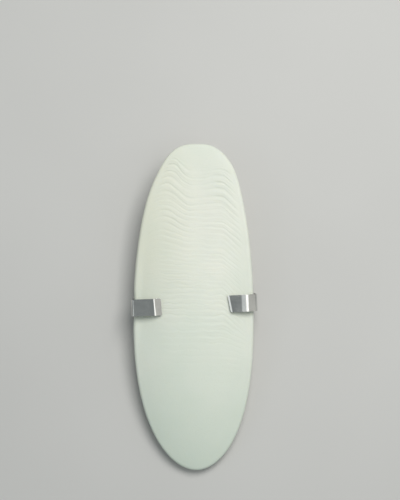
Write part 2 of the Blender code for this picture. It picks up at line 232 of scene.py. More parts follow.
# Bends of the strip in XZ, from its left tip round the back to its right tip, and their radii.
# The tip rows and the lean in X are measured from the tip.
STRIP_BENDS = ((-12.9, 14.226), (-15.9, 15.15), (-24.11, 13.2), (-24.11, 3.3), (-14.5, BACK_LEVEL),
               (14.5, BACK_LEVEL), (24.07, 3.3), (24.07, 12.411), (21.2, 13.749), (20.1, 13.923),
               (18.3, 14.046), (13.7, 14.15), (12.9, 13.85))
STRIP_RADII = (2.6, 0.9, 2.6, 7.0, 7.0, 2.6, 1.6, 3.6, 5.0, 7.0, 0.7)
TIP_ROUND = 0.6
TIP_ROWS = (0.6, 0.4, 0.25, 0.13, 0.05, 0.015)
TIP_ROWS_CLEAR = 0.02
TIP_LEANS = (0.35, 1.0)
TIP_LEAN_X = (5.0, 1.4)

# Tongue: its bends in XZ from its root outwards, and their radii
TONGUE_WIDTH = 3.0
TONGUE_ROOT_X = 3.0
TONGUE_LEVEL = BACK_LEVEL - 2.04
TONGUE_BENDS = ((TONGUE_ROOT_X, BACK_LEVEL), (4.25, BACK_LEVEL), (4.55, TONGUE_LEVEL), (10.6, TONGUE_LEVEL),
                (11.4, TONGUE_LEVEL + 0.25))
TONGUE_RADII = (0.6, 0.7, 0.8)

# Rows and columns of the sheet, and the rounding of its edges
ROW_GAP = 0.7
STRIP_STEP = np.radians(4.0)
TONGUE_STEP = np.radians(9.0)
OUTER_COLUMNS = 4
TONGUE_COLUMNS = 7
EDGE_ROUNDING = 0.07
EDGE_ANGLE = np.radians(50.0)

# Resting pose: turns about X and Y, and where the bone's own origin then stands
TILT = np.radians(6.457)
ROLL = np.radians(0.281)
REST_PLACE = np.array([-0.0095, 0.8086, 3.3194])


def rest_matrix():
    """The turn of the resting pose: first about X, then about Y."""
    c, s = np.cos(TILT), np.sin(TILT)
    about_x = np.array([[1, 0, 0], [0, c, -s], [0, s, c]])
    c, s = np.cos(ROLL), np.sin(ROLL)
    about_y = np.array([[c, 0, s], [0, 1, 0], [-s, 0, c]])
    return about_y @ about_x


REST = rest_matrix()


def rest(points):
    """Points in the bone's own millimetres, turned and shifted into the resting pose, in metres."""
    return (points @ REST.T + REST_PLACE) * MM


def smooth(t):
    """Smooth step from 0 to 1 as t goes from 0 to 1."""
    t = np.clip(t, 0.0, 1.0)
    return t * t * (3.0 - 2.0 * t)


def rise(v, start, full):
    """Smooth step in v, from 0 at the start to 1 where it is full, whichever of the two is lower."""
    return smooth((v - start) / (full - start))


def hill(v, middle, span):
    """A bell of height 1 over the middle."""
    return np.exp(-(((v - middle) / span) ** 2))


def drift(x, y, size, seed):
    """Slow wandering between about -1 and 1: a sum of sine waves of mixed direction, about one size."""
    draw = np.random.default_rng(seed)
    total = 0.0
    for _ in range(DRIFT_WAVES):
        angle = draw.uniform(0.0, 2.0 * np.pi)
        pitch = size * draw.uniform(*DRIFT_SIZES)
        wave_x = np.cos(angle) * x + np.sin(angle) * y
        total = total + np.sin(2.0 * np.pi * wave_x / pitch + draw.uniform(0.0, 2.0 * np.pi))
    return total / DRIFT_DIVISOR


def grid_cells(ids):
    """Quads between the neighbouring rows and columns of a grid of numbers."""
    return np.stack([ids[:-1, :-1], ids[1:, :-1], ids[1:, 1:], ids[:-1, 1:]], axis=-1)


# Bone


def reach(s):
    """Distance in Y from the widest place to the blunt end or to the thin end."""
    return np.where(s > 0.0, HALF_LENGTH - WIDEST_Y, HALF_LENGTH + WIDEST_Y)


def plan_y(s, inset):
    """Y for the run s, 1 at the blunt end and -1 at the thin end, of the outline pulled in by inset."""
    return WIDEST_Y + s * (reach(s) - inset)


def run_of(y):
    """The run s of a Y on the full outline."""
    return np.clip((y - WIDEST_Y) / reach(y - WIDEST_Y), -1.0, 1.0)


def half_width(s, inset):
    """Half width of the plan: width = (1 - s to one power) to one over another, a pair for each end."""
    a = np.abs(s)
    blunt = np.maximum(1.0 - a ** BLUNT_POWERS[0], 0.0) ** (1.0 / BLUNT_POWERS[1])
    thin = np.maximum(1.0 - a ** THIN_POWERS[0], 0.0) ** (1.0 / THIN_POWERS[1])
    return (HALF_WIDTH - inset) * np.where(s > 0.0, blunt, thin)


def midline(y):
    """X of the middle line: a shallow bow to the left, and a small swing back near the blunt end."""
    swing = BLUNT_SWING * hill(y, *BLUNT_SWING_BELL_Y)
    return MIDLINE_X + MIDLINE_BOW * (y / HALF_LENGTH) ** 2 + swing


def plan_x(s, y, u, inset):
    """X across the plan, u from -1 to 1, the left edge pressed in a little where the clip holds it."""
    near = np.exp(-(((y - PRESSED_Y) / PRESSED_SPAN) ** 4))
    pressed = PRESSED_DEPTH * near * np.clip(-u, 0.0, 1.0) ** 3
    return midline(y) + u * half_width(s, inset) + pressed


def wave(x, y):
    """Shift in Y of the ledge line that crosses the middle at y.

    From the middle groove it climbs by a smooth step to a crest on the left. On the right it falls
    away from a low crest at a steady slope, the slope of a hyperbola that starts flat.
    """
    end = 1.0 - np.exp(-(((HALF_LENGTH - y) / COURSE_END_SPAN) ** 2))
    left_size = LEFT_CREST * rise(y, *LEFT_CREST_Y) * (1.0 - rise(y, *LEFT_CREST_END_Y))
    left = rise(x, *LEFT_CLIMB_X) - LEFT_FALL * np.maximum(LEFT_FALL_X - x, 0.0) ** 2
    right_size = rise(y, *RIGHT_BLUNT_Y) * rise(y, *RIGHT_THIN_Y)
    out = x - RIGHT_FALL_X
    fall = 0.5 * RIGHT_FALL_SLOPE * (np.sqrt(out**2 + RIGHT_FALL_BEND) + out)
    right = RIGHT_CREST * hill(x, *RIGHT_CREST_BELL_X) * rise(y, *RIGHT_CREST_Y) - fall
    return end * (left_size * left + right_size * right)


def back_height(x, y):
    """Height of the hard back: a bowl in both directions less three faint lengthwise ribs."""
    t = y / HALF_LENGTH
    across = x - midline(y)
    bowl = BACK_RISE_LONG * t**2 + BACK_RISE_ENDS * t**4
    bowl = bowl + BACK_RISE_BLUNT * np.maximum(t, 0.0) ** 3
    bowl = bowl + BACK_RISE_ACROSS * (across / HALF_WIDTH) ** 2
    ribs = hill(across, *MIDDLE_RIB_BELL_X) + hill(np.abs(across), *SIDE_RIB_BELL_X)
    return bowl - RIB_HEIGHT * ribs * (1.0 - t**2) + BACK_LIFT


def rim_height(y):
    """Height of the upper edge of the rim: thickest in the middle, thinner by a parabola to each end."""
    return RIM_LEVEL + RIM_THICK_MIDDLE - (RIM_THICK_MIDDLE - RIM_THICK_END) * run_of(y) ** 2


def edge_distance(x, y):
    """Distance in from the outline: its level function over the steepness of that function."""
    s = run_of(y)
    side = np.abs(x - midline(y)) / HALF_WIDTH
    p = np.where(s > 0.0, BLUNT_POWERS[0], THIN_POWERS[0])
    q = np.where(s > 0.0, BLUNT_POWERS[1], THIN_POWERS[1])
    level = 1.0 - np.abs(s) ** p - side**q
    steep = np.hypot(p * np.abs(s) ** (p - 1.0) / reach(s), q * side ** (q - 1.0) / HALF_WIDTH)
    return np.maximum(level, 0.0) / (steep + TINY)


def crown(x, y):
    """Height of the face over its rim: a parabola across times a hump along, hollow to the blunt end.

    Where the parabola meets the level of the rim the two run together softly. On the thin half the
    level strip narrows, so that the face falls off to its edge in one curve.
    """
    rim = RIM_WIDTH - RIM_NARROWING * rise(y, *RIM_NARROWING_Y)
    s = (y - WIDEST_Y) / (reach(y - WIDEST_Y) - rim)
    inside = np.clip(s, -1.0, 1.0)
    across = (x - midline(y)) / np.maximum(half_width(inside, rim), LEAST_HALF_WIDTH)
    peak = (CROWN_Y - WIDEST_Y) / (HALF_LENGTH + WIDEST_Y - RIM_WIDTH)
    behind = np.clip((inside - peak) / (1.0 - peak), 0.0, 1.0)
    ahead = np.clip((peak - inside) / (1.0 + peak), 0.0, 1.0)
    hollow = (0.5 + 0.5 * np.cos(np.pi * behind)) ** HOLLOW_POWER
    round_end = 1.0 - ahead**ROUND_END_POWER
    size = CROWN_HEIGHT * np.where(inside > peak, hollow, round_end)
    dome = size * np.maximum(1.0 - across**2, CROWN_LEAST)
    soft = CROWN_BLEND + CROWN_BLEND_MORE * rise(y, *CROWN_BLEND_MORE_Y)
    return 0.5 * (dome + np.sqrt(dome**2 + soft))


def face_height(x, y):
    """Height of the face without its ledges: rim, crown and rounded edge less the middle groove."""
    edge = EDGE_ROUND_HEIGHT * (1.0 - np.exp(-edge_distance(x, y) / EDGE_ROUND_SPAN))
    groove = GROOVE_DEPTH * hill(x, *GROOVE_BELL_X) * rise(y, *GROOVE_BLUNT_Y) * rise(y, *GROOVE_THIN_Y)
    return rim_height(y) + crown(x, y) + edge - groove


def row_plan():
    """Y of every row: close rows over the ledges, wider below, and closing up towards the two ends."""
    blunt = HALF_LENGTH - np.array(BLUNT_ROWS)
    close = np.arange(HALF_LENGTH - CLOSE_ROWS_FROM, LEDGES_Y[-1] - CLOSE_ROWS_PAST, -CLOSE_GAP)
    faint = np.arange(close[-1] - FAINT_GAP, FAINT_ROWS_Y, -FAINT_GAP)
    plain = np.linspace(faint[-1], PLAIN_ROWS_Y, PLAIN_ROWS)[1:]
    turn = np.linspace(0.0, 0.5 * np.pi, THIN_ROWS)[1:]
    thin = PLAIN_ROWS_Y - (HALF_LENGTH + PLAIN_ROWS_Y) * np.sin(turn)
    return np.concatenate([blunt, close, faint, plain, thin])


def ledge_strength(x, y, u):
    """How strong the lines are.

    Most on the two slopes, less in the middle groove and towards both edges, and fading out to the
    thin end. Most factors are 1 with a gain or a loss, spread by smooth steps and bells in X and Y.
    """
    edge = rise(np.abs(u), *EDGE_FADE_SHARE) * (1.0 - RIGHT_EDGE_LOSS * rise(x, *RIGHT_EDGE_X))
    along = BASE_STRENGTH + BLUNT_GAIN * rise(y, *BLUNT_GAIN_Y)
    along = along * (1.0 + FAINT_GAIN * hill(y, *FAINT_BELL_Y))
    along = along * rise(y, *LEDGES_THIN_Y) * rise(y, *LEDGES_BLUNT_Y)
    loss = MIDDLE_LOSS + MIDDLE_LOSS_MORE * rise(y, *MIDDLE_LOSS_MORE_Y)
    middle = 1.0 - loss * hill(x, *MIDDLE_BELL_X)
    left_top = 1.0 + LEFT_TOP_GAIN * rise(x, *LEFT_TOP_X) * rise(y, *LEFT_TOP_Y)
    right_low = 1.0 + RIGHT_LOW_GAIN * rise(x, *RIGHT_LOW_X) * rise(y, *RIGHT_LOW_Y)
    gain = RIGHT_TOP_GAIN * rise(y, *RIGHT_TOP_Y) - RIGHT_DIP * hill(y, *RIGHT_DIP_BELL_Y)
    right_top = 1.0 + gain * rise(x, *RIGHT_TOP_X)
    flank = 1.0 - FLANK_LOSS * rise(x, *FLANK_X) * (1.0 - FLANK_RETURN * rise(y, *FLANK_RETURN_Y))
    crest = 1.0 - CREST_LOSS * hill(x, *CREST_BELL_X) * rise(y, *CREST_Y)
    slope = 1.0 - SLOPE_LOSS * hill(x, *SLOPE_BELL_X) * hill(y, *SLOPE_BELL_Y)
    return edge * along * middle * left_top * right_low * right_top * flank * crest * slope


def ledge_relief(x, y, u):
    """Height and shade of the ledges.

    Between two lines the ground rises and falls by a sine to a power below 1, so each line is a
    narrow groove between round ridges. A weaker wave of half the pitch comes and goes on top.
    """
    lines, sizes = np.array(LEDGES_Y)[::-1], np.array(LEDGE_SIZES)[::-1]
    last = len(lines) - 1.0
    number = np.interp(y, lines, np.arange(len(lines)), left=-1.0, right=last)
    number = np.where(y < lines[0], (y - lines[0]) / OUTER_PITCH, number)
    number = np.where(y > lines[-1], last + (y - lines[-1]) / OUTER_PITCH, number)
    ridge = np.abs(np.sin(np.pi * number)) ** RIDGE_POWER
    strength = ledge_strength(x, y, u)
    uneven = np.clip(STRONG_MEAN + STRONG_DRIFT * drift(x, 2.4 * y, size=21.0, seed=3), *STRONG_LIMITS)
    strong = np.interp(y, lines, sizes) * uneven * strength
    uneven = np.clip(FINE_MEAN + FINE_DRIFT * drift(x, 2.0 * y, size=15.0, seed=8), *FINE_LIMITS)
    fine = uneven * strength
    double = np.sin(4.0 * np.pi * number + FINE_SWAY * drift(x, y, size=17.0, seed=9))
    lift = RIDGE_HEIGHT * (strong * (ridge - 0.5) + FINE_HEIGHT * fine * double)
    shade = strong * np.clip(1.0 - ridge / SHADE_WIDTH, 0.0, 1.0)
    shade = shade + FINE_SHADE * fine * np.clip(-double, 0.0, 1.0)
    return lift, shade


def bone_face(rows, inset):
    """Face grid, one row per entry of rows and u from the left rim to the right one."""
    u = np.linspace(-1.0, 1.0, FACE_COLUMNS + 1)[None, :]
    base = np.repeat(rows[:, None], FACE_COLUMNS + 1, axis=1)
    nominal = u * half_width(run_of(base), inset)
    ends = rise(np.abs(base), HALF_LENGTH, HALF_LENGTH - STILL_END)
    quick = QUICK_WANDER + QUICK_WANDER_MORE * rise(base, *QUICK_WANDER_Y)
    wander = SLOW_WANDER * drift(nominal, 0.8 * base, size=11.0, seed=5)
    wander = (wander + quick * drift(nominal, 1.2 * base, size=5.0, seed=6)) * ends
    s = run_of(np.clip(base + wave(nominal, base) + wander, -HALF_LENGTH, HALF_LENGTH))
    y = plan_y(s, inset)
    x = plan_x(s, y, u, inset)
    lift, shade = ledge_relief(x, base, u)
    swell = SWELL_HEIGHT * drift(x, y, size=19.0, seed=21) * rise(edge_distance(x, y), 0.0, SWELL_MARGIN)
    z = face_height(x, y) + lift + swell
    return s, base, shade, np.stack([x, y, z], axis=-1)


def bone_back(s_left, s_right, inset):
    """Back grid: its rows run straight from the left rim to the right one."""
    u = np.linspace(-1.0, 1.0, BACK_COLUMNS + 1)[None, :]
    s = 0.5 * (1.0 - u) * s_left[:, None] + 0.5 * (1.0 + u) * s_right[:, None]
    y = plan_y(s, inset)
    x = plan_x(s, y, u, inset)
    return np.stack([x, y, back_height(x, y)], axis=-1)


def loop_round(grid):
    """Edge of a grid whose first and last rows are points: down its right side, then up its left."""
    return np.concatenate([grid[:1, 0], grid[1:-1, -1], grid[-1:, 0], grid[-2:0:-1, 0]])


def pole_grid(start, rows, columns):
    """Vertex numbers of a grid whose first and last rows are single points."""
    ids = np.empty((rows, columns), dtype=int)
    ids[0] = start
    ids[1:-1] = start + 1 + np.arange((rows - 2) * columns).reshape(rows - 2, columns)
    ids[-1] = start + 1 + (rows - 2) * columns
    return ids


def pole_points(grid):
    """Points of such a grid in the order of their numbers."""
    first, last = grid[0].mean(axis=0), grid[-1].mean(axis=0)
    return np.concatenate([first[None], grid[1:-1].reshape(-1, 3), last[None]])


def pole_faces(ids):
    """Quads of the inner rows and triangles round the two points."""
    quads = grid_cells(ids[1:-1]).reshape(-1, 4)
    first = np.stack([ids[0, :-1], ids[1, :-1], ids[1, 1:]], axis=-1)
    last = np.stack([ids[-1, :-1], ids[-2, 1:], ids[-2, :-1]], axis=-1)
    return quads, np.concatenate([first, last])


def edge_rings(top, low, s_loop, side):
    """Rings round the edge of the bone between the loops of its face and its back.

    Each ring has its inset and its share of the height, and a fine ripple that only takes away.
    """
    rings = []
    for inset, share in EDGE_BANDS:
        y = plan_y(s_loop, inset)
        x = plan_x(s_loop, y, side, inset)
        ripple = RIPPLE_DEPTH * drift(x + RIPPLE_SHIFT * share, y, size=6.0, seed=31)
        ripple = ripple + FINE_RIPPLE_DEPTH * drift(x + FINE_RIPPLE_SHIFT * share, y, size=2.2, seed=32)
        z = low[:, 2] + share * (top[:, 2] - low[:, 2])
        rings.append(np.stack([x - side * np.abs(ripple), y, z], axis=-1))
    return np.concatenate(rings)


def mark_face(bone, count, base, shade):
    """How ledged each place of the face is, and how deep it lies in the shade of a ledge."""
    u = np.linspace(-1.0, 1.0, FACE_COLUMNS + 1)[None, :]
    ledged = rise(np.abs(u), *LEDGED_SHARE) * rise(base, *LEDGED_THIN_Y) * rise(base, *LEDGED_BLUNT_Y)
    on_face = pole_points(np.stack([ledged, shade, shade], axis=-1))
    for name, values in (("ledged", on_face[:, 0]), ("line_shade", on_face[:, 1])):
        add_values(bone, name, np.concatenate([values, np.zeros(count - len(values))]))


def mark_growth(bone, points, face_x, base, ring_start):
    """Where each place lies between the growth lines and between the layers.

    The growth lines go with the ledges on the face and are parabolas on the back. The layers are
    nearly level and rise a little towards the thin end.
    """
    on_face = pole_points(np.stack([face_x, base, 0.0 * base], axis=-1))
    growth = points * np.array([1.0, 1.0, 0.0])
    growth[:len(on_face)] = on_face
    growth[len(on_face):ring_start, 1] += BACK_ARC_BEND * points[len(on_face):ring_start, 0] ** 2
    layers = points * np.array([LAYERS_STRETCH, LAYERS_STRETCH, 1.0])
    layers[:, 2] += LAYERS_TILT * points[:, 1]
    add_vectors(bone, "growth", growth * CM_PER_MM)
    add_vectors(bone, "layers", layers * CM_PER_MM)


def mark_edge(bone, count, back_start, ring_start):
    """How much of each place is hard back, layered side or the seam between them, band by band."""
    shares = np.array([share for inset, share in EDGE_BANDS])
    around = (count - ring_start) // len(shares)
    hard = rise(shares, *HARD_BACK_SHARE)
    layered = smooth(1.0 - np.abs(shares - LAYERS_MIDDLE) / LAYERS_SPAN)
    seam = hill(shares, *SEAM_BELL_SHARE)
    for name, on_back, by_band in (("hard_back", 1.0, hard), ("rim", 0.0, layered), ("margin", 0.0, seam)):
        values = np.zeros(count)
        values[back_start:ring_start] = on_back
        values[ring_start:] = np.repeat(by_band, around)
        add_values(bone, name, values)


def build_bone(material):
    """The whole bone: face, bands round its edge and back, sewn into one closed skin."""
    rows = row_plan()
    count = len(rows)
    s_face, base, shade, face = bone_face(rows, FACE_INSET)
    back = bone_back(s_face[:, 0], s_face[:, -1], BACK_INSET)
    side = loop_round(np.repeat(np.array([[-1.0, 1.0]]), count, axis=0))
    side[0] = side[count - 1] = 0.0
    rings = edge_rings(loop_round(face), loop_round(back), loop_round(s_face), side)

    face_ids = pole_grid(0, count, FACE_COLUMNS + 1)
    back_start = face_ids.max() + 1
    back_ids = pole_grid(back_start, count, BACK_COLUMNS + 1)
    ring_start = back_ids.max() + 1
    ring_ids = ring_start + np.arange(len(rings)).reshape(len(EDGE_BANDS), -1)
    loops = np.concatenate([loop_round(face_ids)[None], ring_ids, loop_round(back_ids)[None]])
    turned = np.roll(loops, -1, axis=1)
    band_quads = np.stack([loops[:-1], turned[:-1], turned[1:], loops[1:]], axis=-1).reshape(-1, 4)

    face_quads, face_tris = pole_faces(face_ids)
    back_quads, back_tris = pole_faces(back_ids)
    points = np.concatenate([pole_points(face), pole_points(back), rings])
    quads = np.concatenate([face_quads, back_quads[:, ::-1], band_quads])
    tris = np.concatenate([face_tris, back_tris[:, ::-1]])
    bone = put_mesh("cuttlebone", rest(points), quads, tris, material)
    mark_face(bone, len(points), base, shade)
    mark_growth(bone, points, face[..., 0], base, ring_start)
    mark_edge(bone, len(points), back_start, ring_start)
    return bone


# Clip


def rounded_path(corners, radii, step):
    """Polyline through the corners, each inner one replaced by an arc of its radius, a point every step."""
    corners = np.array(corners, dtype=float)
    out = [corners[:1]]
    for before, here, after, radius in zip(corners, corners[1:], corners[2:], radii):
        a = (before - here) / np.linalg.norm(before - here)
        b = (after - here) / np.linalg.norm(after - here)
        half = 0.5 * np.arccos(np.clip(a @ b, -1.0, 1.0))
        middle = here + (a + b) / np.linalg.norm(a + b) * radius / np.sin(half)
        first = here + a * radius / np.tan(half) - middle
        sweep = (np.pi - 2.0 * half) * np.sign(a[1] * b[0] - a[0] * b[1])
        angle = np.linspace(0.0, sweep, max(3, int(abs(sweep) / step) + 2))
        c, s = np.cos(angle), np.sin(angle)
        arc = np.stack([c * first[0] - s * first[1], s * first[0] + c * first[1]], axis=1)
        out.append(middle + arc)
    out.append(corners[-1:])
    return np.concatenate(out)


def filled(path, gap, marks=()):
    """The path with points added so that none are further apart than gap.

    Below the bone it also gets a point at each marked X.
    """
    out = [path[:1]]
    for a, b in zip(path, path[1:]):
        parts = max(1, int(np.ceil(np.linalg.norm(b - a) / gap)))
        share = np.linspace(0.0, 1.0, parts + 1)[1:]
        if a[1] < 0.0 and b[1] < 0.0:
            extra = [(m - a[0]) / (b[0] - a[0]) for m in marks if a[0] < m < b[0]]
            share = np.unique(np.round(np.concatenate([share, extra]), 9))
        out.append(a + share[:, None] * (b - a))
    return np.concatenate(out)


def finer_end(path):
    """The path with rows added close to its last point, for the rounded corners."""
    run = path[-1] - path[-2]
    length = np.linalg.norm(run)
    back = np.array(TIP_ROWS)
    back = back[back < length - TIP_ROWS_CLEAR]
    return np.concatenate([path[:-1], path[-1] - back[:, None] * run / length, path[-1:]])


def path_normals(path):
    """Unit normals of a path in the XZ plane, to the left of its direction."""
    step = np.diff(path, axis=0)
    step = step / np.linalg.norm(step, axis=1)[:, None]
    mean = np.concatenate([step[:1], step[:-1] + step[1:], step[-1:]])
    mean = mean / np.linalg.norm(mean, axis=1)[:, None]
    return np.stack([-mean[:, 1], mean[:, 0]], axis=1)


def tip_taper(path, both_ends):
    """Share of the full width: a quarter round takes the corners off a cut end."""
    gap = np.concatenate([[0.0], np.cumsum(np.linalg.norm(np.diff(path, axis=0), axis=1))])
    left = np.minimum(gap[-1] - gap, gap) if both_ends else gap[-1] - gap
    missing = np.clip(1.0 - left / TIP_ROUND, 0.0, 1.0)
    return 1.0 - 2.0 * TIP_ROUND / STRIP_WIDTH * (1.0 - np.sqrt(1.0 - missing**2))


def sheet_points(line, across):
    """Middle-surface points and normals of a strip: the line in XZ, the across values in Y."""
    one = np.ones_like(across)
    facing = path_normals(line)
    points = np.stack([line[:, :1] * one, across, line[:, 1:] * one], axis=-1)
    normals = np.stack([facing[:, :1] * one, 0.0 * across, facing[:, 1:] * one], axis=-1)
    return points, normals


def strip_path():
    """The line of the strip in XZ, with rows at the ends of its windows and close rows at its tips."""
    marks = (-WINDOW_END_X, -TONGUE_ROOT_X, TONGUE_ROOT_X, WINDOW_END_X)
    path = filled(rounded_path(STRIP_BENDS, STRIP_RADII, STRIP_STEP), ROW_GAP, marks)
    return finer_end(finer_end(path)[::-1])[::-1]


def lean_tips(strip):
    """Both tips cut askew: near a tip, X shifts in proportion to the distance below the upper edge."""
    lower = 0.5 - strip[..., 1] / STRIP_WIDTH
    on_top = strip[..., 2] > 0.5 * (STRIP_BENDS[0][1] + BACK_LEVEL)
    for tip, lean in zip((STRIP_BENDS[0], STRIP_BENDS[-1]), TIP_LEANS):
        same_side = tip[0] * strip[..., 0] > 0.0
        near = rise(np.abs(strip[..., 0] - tip[0]), *TIP_LEAN_X) * on_top * same_side
        strip[..., 0] += lean * lower * near


def in_window(path, levels):
    """True for each cell of the strip that one of the two windows takes out."""
    middle = 0.5 * (path[:-1] + path[1:])
    centre = 0.5 * (levels[:-1] + levels[1:])
    flat = middle[:, 1] < BACK_LEVEL + FLAT_MARGIN
    along = flat & (np.abs(middle[:, 0]) > TONGUE_ROOT_X) & (np.abs(middle[:, 0]) < WINDOW_END_X)
    return along[:, None] & (np.abs(centre) < 0.5 * WINDOW_WIDTH)[None, :]


def tongue_sheet(hand, across):
    """Points and normals of the tongue that runs to the left, hand -1, or to the right, hand 1."""
    line = finer_end(filled(rounded_path(TONGUE_BENDS, TONGUE_RADII, TONGUE_STEP), ROW_GAP))
    taper = tip_taper(line, False)
    line = line * np.array([hand, 1.0])
    if hand < 0.0:
        line, taper = line[::-1], taper[::-1]
    return sheet_points(line, taper[:, None] * across[None, :])


def thickened(points, normals, cells):
    """The sheet given its thickness: two skins and a wall along each free edge, a little dented."""
    total = len(points)
    edges = np.concatenate([cells[:, [0, 1]], cells[:, [1, 2]], cells[:, [2, 3]], cells[:, [3, 0]]])
    code = edges[:, 0] * total + edges[:, 1]
    free = edges[~np.isin(code, edges[:, 1] * total + edges[:, 0])]
    walls = np.stack([free[:, 1], free[:, 0], free[:, 0] + total, free[:, 1] + total], axis=-1)
    quads = np.concatenate([cells, cells[:, ::-1] + total, walls])
    dent = DENT_DEPTH * drift(points[:, 0] + 0.6 * points[:, 2], points[:, 1], size=12.0, seed=41)
    skins = [points + (dent + half)[:, None] * normals for half in (0.5 * STRIP_THICK, -0.5 * STRIP_THICK)]
    solid = np.concatenate(skins)
    used = np.unique(quads)
    number = np.zeros(len(solid), dtype=int)
    number[used] = np.arange(len(used))
    return solid[used], number[quads]


def build_clip(material):
    """The strip with its two windows and the tongue pushed out of each, turned a little on the bone."""
    path = strip_path()
    outer = np.linspace(0.5 * STRIP_WIDTH, 0.5 * WINDOW_WIDTH, OUTER_COLUMNS)
    inner = np.linspace(-0.5 * TONGUE_WIDTH, 0.5 * TONGUE_WIDTH, TONGUE_COLUMNS)
    levels = np.concatenate([-outer, inner, outer[::-1]])
    strip, strip_normals = sheet_points(path, tip_taper(path, True)[:, None] * levels[None, :])
    lean_tips(strip)
    strip_ids = np.arange(strip.shape[0] * strip.shape[1]).reshape(strip.shape[:2])
    points, normals = [strip.reshape(-1, 3)], [strip_normals.reshape(-1, 3)]
    cells = [grid_cells(strip_ids)[~in_window(path, levels)]]
    total = strip_ids.size

    flat_rows = np.flatnonzero(path[:, 1] < BACK_LEVEL + FLAT_MARGIN)
    for hand in (-1.0, 1.0):
        tongue, tongue_normals = tongue_sheet(hand, inner)
        ids = total + np.arange(tongue.shape[0] * tongue.shape[1]).reshape(tongue.shape[:2])
        total += ids.size
        root = flat_rows[np.argmin(np.abs(path[flat_rows, 0] - hand * TONGUE_ROOT_X))]
        ids[-1 if hand < 0.0 else 0] = strip_ids[root, OUTER_COLUMNS:OUTER_COLUMNS + TONGUE_COLUMNS]
        cells.append(grid_cells(ids).reshape(-1, 4))
        points.append(tongue.reshape(-1, 3))
        normals.append(tongue_normals.reshape(-1, 3))

    solid, quads = thickened(np.concatenate(points), np.concatenate(normals), np.concatenate(cells))
    c, s = np.cos(STRIP_TURN), np.sin(STRIP_TURN)
    x, y, z = solid.T
    turned = np.stack([c * x - s * y, s * x + c * y + STRIP_Y, z], axis=-1)
    clip = put_mesh("bent_clip", rest(turned), quads, NO_TRIS, material)
    soften = clip.modifiers.new("rounded_edges", "BEVEL")
    soften.width = EDGE_ROUNDING * MM
    soften.segments = 2
    soften.limit_method = "ANGLE"
    soften.angle_limit = EDGE_ANGLE
    soften.harden_normals = True
    return clip


# Meshes


def put_mesh(name, points, quads, tris, material):
    """A smooth-shaded mesh object at the origin."""
    mesh = bpy.data.meshes.new(name)
    mesh.from_pydata(points.tolist(), [], quads.tolist() + tris.tolist())
    mesh.polygons.foreach_set("use_smooth", np.ones(len(mesh.polygons), dtype=bool))
    mesh.materials.append(material)
    mesh.update()
    thing = bpy.data.objects.new(name, mesh)
    bpy.context.scene.collection.objects.link(thing)
    return thing


def add_values(thing, name, values):
    """One number at each vertex, for the material."""
    layer = thing.data.attributes.new(name, "FLOAT", "POINT")
    layer.data.foreach_set("value", np.ascontiguousarray(values, dtype=np.float32))


def add_vectors(thing, name, vectors):
    """One vector at each vertex, for the material."""
    layer = thing.data.attributes.new(name, "FLOAT_VECTOR", "POINT")
    layer.data.foreach_set("vector", np.ascontiguousarray(vectors, dtype=np.float32).ravel())


# Materials

COOL_CHALK = (0.755, 0.8, 0.72)
PALE_CHALK = (0.81, 0.83, 0.755)
THIN_END_TINT = (0.66, 0.78, 0.68)
LEFT_TINT = (0.7, 0.72, 0.58)
HAIRLINE = (0.5, 0.53, 0.45)
LEDGE_SHADE = (0.52, 0.56, 0.47)
SPECK = (0.6, 0.62, 0.54)
LAYER_SHADE = (0.53, 0.54, 0.45)
DARK_BACK = (0.72, 0.7, 0.6)
PALE_BACK = (0.82, 0.8, 0.71)
SEAM = (0.5, 0.44, 0.32)
DULL_METAL = (0.62, 0.62, 0.6)
BRIGHT_METAL = (0.73, 0.73, 0.7)
DARK_FLOOR = (0.6, 0.6, 0.59)
PALE_FLOOR = (0.63, 0.63, 0.62)


